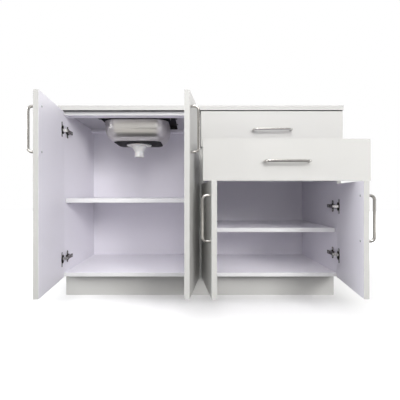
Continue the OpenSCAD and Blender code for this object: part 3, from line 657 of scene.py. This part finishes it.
# Waste: a white moulded plastic flange, neck, cone and tail in one turning, with a bead at the
# tail's end. A rubber ring seals it to the bowl.
def turned(name, x, y, rings, steps=64):
    """A ring drawn from radius to radius, in millimetres, down the list, which ends where it starts."""
    bpy.ops.object.select_all(action="DESELECT")
    (radius, height), rest = rings[0], rings[1:]
    bpy.ops.mesh.primitive_circle_add(vertices=steps, radius=radius * mm, location=(x, y, height * mm))
    piece = bpy.context.object
    piece.name = piece.data.name = name
    settle(piece)
    bpy.ops.object.mode_set(mode="EDIT")
    bpy.ops.mesh.select_mode(type="EDGE")
    bpy.ops.mesh.select_all(action="SELECT")
    for wider, higher in rest:
        bpy.ops.mesh.extrude_region_move(TRANSFORM_OT_translate={"value": (0, 0, (higher - height) * mm)})
        grow = wider / radius
        bpy.ops.transform.resize(value=(grow, grow, 1), center_override=(x, y, higher * mm))
        radius, height = wider, higher
    close_doubles()
    return piece


waste = turned("waste_moulding", sink_x, sink_y, [
    (33.5, 687), (56.5, 687), (58.5, 685.8), (58.5, 684.2), (57, 683), (37.2, 683), (36, 681.8), (36, 677),
    (34.6, 674.2), (23.2, 657), (22, 654.5), (22, 637), (22.9, 636), (22.9, 631), (22, 630), (21, 629),
    (19.5, 629), (19.5, 655), (33.5, 675), (33.5, 687)])
white_plastic = finish_named("white_moulded_plastic", Subsurface_Weight=0.08, Subsurface_Scale=0.002)
tinted(white_plastic, clouds(white_plastic, 25, Detail=3.0), (0.78, 0.78, 0.765), (0.83, 0.83, 0.815))
rubbed(white_plastic, clouds(white_plastic, 80, Detail=4.0), 0.3, 0.45)
relief(white_plastic, clouds(white_plastic, 700, Detail=2.0), 0.05 * mm, 0.3)
coats(waste, [white_plastic])
ease(waste, 0.4 * mm, 25)
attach(waste, "carcass")
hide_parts("waste_body")

gasket = turned("rubber_ring", sink_x, sink_y, [
    (31, 687.2), (55.4, 687.2), (56, 687.8), (56, 689.2), (55.4, 689.8), (31, 689.8), (31, 687.2)])
rubber = finish_named("black_rubber")
tinted(rubber, clouds(rubber, 120, Detail=3.0), (0.014, 0.014, 0.015), (0.028, 0.028, 0.03))
rubbed(rubber, clouds(rubber, 90), 0.5, 0.7)
relief(rubber, clouds(rubber, 900), 0.05 * mm, 0.4)
coats(gasket, [rubber])
ease(gasket, 0.2 * mm, 25)
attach(gasket, "carcass")
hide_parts("waste_gasket")


# Strainer: a bright steel dish pressed into the drain from above, its flange on the bowl's floor
# and its sunk floor pierced with a rosette of holes.
strainer = turned("drain_strainer", sink_x, sink_y, [
    (30.2, 691.25), (41.2, 691.25), (42, 691.6), (41.4, 692.3), (33, 692.4), (29.6, 691.6), (28.5, 689.8),
    (28.5, 679.2), (27.6, 678.7), (0.4, 678.7), (0.4, 677.2), (28.9, 677.2), (29.7, 678), (29.7, 690.6),
    (30.2, 691.25)])
ring_step, dish_floor, hole_r, hole_bore = 9.9 * mm, 678 * mm, 2.5 * mm, 8 * mm
for ring, count in ((1, 6), (2, 12)):
    for k in range(count):
        out, turn = ring * ring_step, 2 * math.pi * k / count
        bored(strainer, sink_x + out * math.cos(turn), sink_y + out * math.sin(turn),
              dish_floor, hole_r, hole_bore, 20)
strainer_steel = plated("polished_strainer", (0.6, 0.59, 0.575), (0.72, 0.71, 0.69), 0.14, 0.24)
coats(strainer, [strainer_steel])
shaded(strainer)
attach(strainer, "carcass")
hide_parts("waste_strainer")


# Doors: four boards edged all round, drilled for two hinge cups and two handle screws each. The
# face turned to the room is the warmer white, the other the white of the inside.
front_y = -225 * mm
door_hand = (1, -1, 1, -1)
door_edge = (-598.5 * mm, -1.5 * mm, 1.5 * mm, 598.5 * mm)
door_open = (84.3, 81.9, 85.3, 81.8)
door_top = (801 * mm, 801 * mm, 496 * mm, 496 * mm)
pivot = Vector((7.1 * mm, -16 * mm, 0))


def hinge_side(i):
    """Closed door i's own frame: x from its hinge edge, y from the carcass front, mirrored if hung right."""
    return Matrix.Translation((door_edge[i], front_y, 0)) @ Matrix.Diagonal((door_hand[i], 1, 1, 1))


def swung(i):
    """The same frame turned open with the door."""
    return (hinge_side(i) @ Matrix.Translation(pivot)
            @ Matrix.Rotation(math.radians(-door_open[i]), 4, "Z") @ Matrix.Translation(-pivot))


for i in range(4):
    outward = (swung(i).to_3x3() @ Vector((0, -1, 0))).normalized()
    board(f"door_{i + 1}_panel", f"door_{i + 1}", boards, two_sided(outward), 0.8 * mm)


# Handles: six bars of round stainless steel bent to a flat D, satin ground along the bar, each
# held by two screws from behind. One is made and then copied to every front.
bar_r, bar_bend, bar_out, bar_half = 5 * mm, 14 * mm, 27 * mm, 78 * mm
quarter = math.radians(90)
bpy.ops.object.select_all(action="DESELECT")
bpy.ops.mesh.primitive_circle_add(vertices=28, radius=bar_r, fill_type="NGON", location=(bar_half, 0, 0),
                                  rotation=(quarter, 0, 0))
bar = bpy.context.object
bar.name = bar.data.name = "handle_pattern"
settle(bar)
bpy.ops.object.mode_set(mode="EDIT")
bpy.ops.mesh.select_all(action="SELECT")
bend_x, bend_y = bar_half - bar_bend, bar_bend - bar_out
bpy.ops.mesh.extrude_region_move(TRANSFORM_OT_translate={"value": (0, bend_y, 0)})
bpy.ops.mesh.spin(steps=10, angle=quarter, center=(bend_x, bend_y, 0), axis=(0, 0, 1))
bpy.ops.mesh.extrude_region_move(TRANSFORM_OT_translate={"value": (-2 * bend_x, 0, 0)})
bpy.ops.mesh.spin(steps=10, angle=quarter, center=(-bend_x, bend_y, 0), axis=(0, 0, 1))
bpy.ops.mesh.extrude_region_move(TRANSFORM_OT_translate={"value": (0, -bend_y, 0)})
close_doubles()
ease(bar, 0.4 * mm, 60)
satin = plated("satin_handle_steel", (0.55, 0.535, 0.51), (0.63, 0.615, 0.59), 0.1, 0.17, 700,
               height=0.004 * mm)


def copied(pattern_piece, name, place):
    """A copy of a finished pattern with its own mesh, set at its place and turned outside out."""
    alone(pattern_piece)
    bpy.ops.object.duplicate()
    twin = bpy.context.object
    twin.name = twin.data.name = name
    twin.matrix_world = place
    settle(twin)
    if place.determinant() < 0:
        bpy.ops.object.mode_set(mode="EDIT")
        bpy.ops.mesh.select_all(action="SELECT")
        bpy.ops.mesh.normals_make_consistent(inside=False)
        bpy.ops.object.mode_set(mode="OBJECT")
    return twin


drawer_mid = 300 * mm
drawer_low = (651.5 * mm, 499 * mm)
drawer_out = (0, 211.3 * mm)


def drawn(d):
    """Drawer d's frame: x from the module's middle, y from the carcass front, moved out with it."""
    return Matrix.Translation((drawer_mid, front_y - drawer_out[d], 0))


door_face, inner_face = -20 * mm, -2 * mm
grip_across, grip_down, grip_up = 267 * mm, 127.5 * mm, 68.75 * mm
upright = Matrix.Rotation(quarter, 4, "Y")
for i in range(4):
    grip = (grip_across, door_face, door_top[i] - grip_down)
    handle = copied(bar, f"door_{i + 1}_bar_handle", swung(i) @ Matrix.Translation(grip) @ upright)
    coats(handle, [satin])
    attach(handle, f"door_{i + 1}")
    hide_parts(f"door_{i + 1}_handle")
for d in range(2):
    grip = (0, door_face, drawer_low[d] + grip_up)
    handle = copied(bar, f"drawer_{d + 1}_bar_handle", drawn(d) @ Matrix.Translation(grip))
    coats(handle, [satin])
    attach(handle, f"drawer_{d + 1}")
    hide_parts(f"drawer_{d + 1}_handle")
bpy.data.objects.remove(bar)


# Screws: zinc plated, with low round heads and a cross recess. One of each size is turned and
# then copied for the handles, hinge cups, mounting plates and arms.
def screw(name, head_r, head_h, shank_r, length):
    """A screw whose head stands on z = 0 and whose shank hangs below, sized in millimetres."""
    head = turned(name, 0, 0, [
        (0.02, -length), (shank_r * 0.5, -length + 0.01), (shank_r, -length + shank_r), (shank_r, 0),
        (head_r, 0), (head_r, head_h * 0.35), (head_r * 0.9, head_h * 0.66), (head_r * 0.7, head_h * 0.86),
        (head_r * 0.4, head_h * 0.97), (0.02, head_h)], 28)
    alone(head)
    bpy.ops.object.mode_set(mode="EDIT")
    close_doubles(0.05 * mm)
    for turn in (0, quarter):
        blade = block((0, 0, head_h * mm), (head_r * 1.15 * mm, head_r * 0.24 * mm, head_h * 1.1 * mm), turn)
        finish_with(head, "BOOLEAN", operation="DIFFERENCE", object=blade, solver="EXACT")
        bpy.data.objects.remove(blade)
    shaded(head)
    return head


screw_zinc = plated("screw_zinc", (0.42, 0.43, 0.43), (0.6, 0.61, 0.6), 0.24, 0.4)
handle_screw = screw("handle_screw_pattern", 4, 2, 2, 27)
cup_screw = screw("cup_screw_pattern", 3.5, 1.75, 1.75, 11.2)
plate_screw = screw("plate_screw_pattern", 3.8, 1.8, 2, 12.5)
arm_screw = screw("arm_screw_pattern", 4, 1.8, 1.5, 1)


def one_piece(parts, name):
    """Several copies joined under one name."""
    bpy.ops.object.select_all(action="DESELECT")
    for part in parts:
        part.select_set(True)
    bpy.context.view_layer.objects.active = parts[0]
    bpy.ops.object.join()
    whole = bpy.context.object
    whole.name = whole.data.name = name
    return whole


door_low = 100 * mm
hinge_inset = (80 * mm, 80 * mm, 96 * mm, 96 * mm)
cup_screw_x, cup_flange, cup_screw_half = 32 * mm, -0.8 * mm, 24 * mm
plate_x, plate_y, plate_screw_half = 19 * mm, 37 * mm, 16 * mm
arm_x, arm_y = 31 * mm, 51 * mm


def hinge_heights(i):
    """The heights of door i's two hinges."""
    return (door_low + hinge_inset[i], door_top[i] - hinge_inset[i])


towards_back = Matrix.Rotation(-quarter, 4, "X")
off_the_side = Matrix.Rotation(quarter, 4, "Y")
for i in range(4):
    held = [(handle_screw, (grip_across, inner_face, door_top[i] - grip_down + s * bar_half))
            for s in (-1, 1)]
    held += [(cup_screw, (cup_screw_x, cup_flange, z + s * cup_screw_half))
             for z in hinge_heights(i) for s in (-1, 1)]
    parts = [copied(kind, "screw", swung(i) @ Matrix.Translation(place) @ towards_back)
             for kind, place in held]
    screws = one_piece(parts, f"door_{i + 1}_cross_screws")
    coats(screws, [screw_zinc])
    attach(screws, f"door_{i + 1}")
    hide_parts(f"door_{i + 1}_screws")
for d in range(2):
    held = [(s * bar_half, inner_face, drawer_low[d] + grip_up) for s in (-1, 1)]
    parts = [copied(handle_screw, "screw", drawn(d) @ Matrix.Translation(place) @ towards_back)
             for place in held]
    screws = one_piece(parts, f"drawer_{d + 1}_cross_screws")
    coats(screws, [screw_zinc])
    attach(screws, f"drawer_{d + 1}")
    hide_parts(f"drawer_{d + 1}_screws")

parts = []
for i in range(4):
    for z in hinge_heights(i):
        for kind, place in ((plate_screw, (plate_x, plate_y, z - plate_screw_half)),
                            (plate_screw, (plate_x, plate_y, z + plate_screw_half)),
                            (arm_screw, (arm_x, arm_y, z))):
            parts.append(copied(kind, "screw", hinge_side(i) @ Matrix.Translation(place) @ off_the_side))
plate_screws = one_piece(parts, "hinge_cross_screws")
coats(plate_screws, [screw_zinc])
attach(plate_screws, "carcass")
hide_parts("hinge_plate_screws")
for used in (handle_screw, cup_screw, plate_screw, arm_screw):
    bpy.data.objects.remove(used)


# Hinges: concealed cup hinges of pressed nickel plated steel. The arm is clipped to a cross
# shaped plate on the side, and a link swings between its nose and the cup in the door. The arms,
# plates and cups are painted near black and the links near white: painted shade and painted highlight.
nickel_painted_shade = plated("hinge_nickel", (0.09, 0.08, 0.07), (0.22, 0.2, 0.175), 0.14, 0.3)
link_painted_highlight = plated("link_nickel_painted_highlight", (0.86, 0.85, 0.83), (0.94, 0.93, 0.91), 0.18, 0.3)
cup_nickel_painted_shade = plated("cup_nickel_painted_shade", (0.07, 0.063, 0.055), (0.16, 0.145, 0.13), 0.2, 0.34)


def hinge_piece(node, name, body, paint, width):
    """A pressed part of the hinges with the press's soft edges."""
    piece = cut_like(node, name)
    coats(piece, [paint])
    ease(piece, width, 35)
    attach(piece, body)
    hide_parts(node)


hinge_piece("hinge_arms", "cranked_hinge_arms", "carcass", nickel_painted_shade, 0.3 * mm)
hinge_piece("hinge_mounting_plates", "cross_mounting_plates", "carcass", nickel_painted_shade, 0.35 * mm)
for i in range(1, 5):
    hinge_piece(f"door_{i}_hinge_cups", f"door_{i}_pressed_cups", f"door_{i}", cup_nickel_painted_shade, 0.2 * mm)
    hinge_piece(f"door_{i}_hinge_links", f"door_{i}_swing_links", f"door_{i}_links", link_painted_highlight, 0.2 * mm)


# Drawers: a white front, two side walls and a back wall of thinner board, and a bottom slid into
# grooves.
forward = Vector((0, -1, 0))
for d in (1, 2):
    board(f"drawer_{d}_front", f"drawer_{d}", boards, two_sided(forward), 0.8 * mm)
    board(f"drawer_{d}_walls", f"drawer_{d}", boards,
          lambda centre, normal: edge_strip if normal.z > 0.7 else inner_painted_light, 0.5 * mm)
    board(f"drawer_{d}_bottom", f"drawer_{d}", boards,
          lambda centre, normal: inner_painted_light, 0.3 * mm)


# Drawer slides: rolled channels of zinc plated steel that run in each other on balls: one on the
# side, one between, and one on the drawer's wall.
slide_zinc = plated("slide_zinc", (0.48, 0.5, 0.51), (0.66, 0.68, 0.69), 0.22, 0.38, 1, (900, 40, 900))


def slide_piece(node, name, body):
    """Members of the slides with the soft bends of rolled steel."""
    piece = cut_like(node, name)
    coats(piece, [slide_zinc])
    ease(piece, 0.5 * mm)
    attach(piece, body)
    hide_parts(node)


slide_piece("slide_cabinet_members", "outer_slide_channels", "carcass")
for d in (1, 2):
    slide_piece(f"drawer_{d}_slide_middles", f"drawer_{d}_middle_channels", f"drawer_{d}_middles")
    slide_piece(f"drawer_{d}_slide_inners", f"drawer_{d}_inner_channels", f"drawer_{d}")
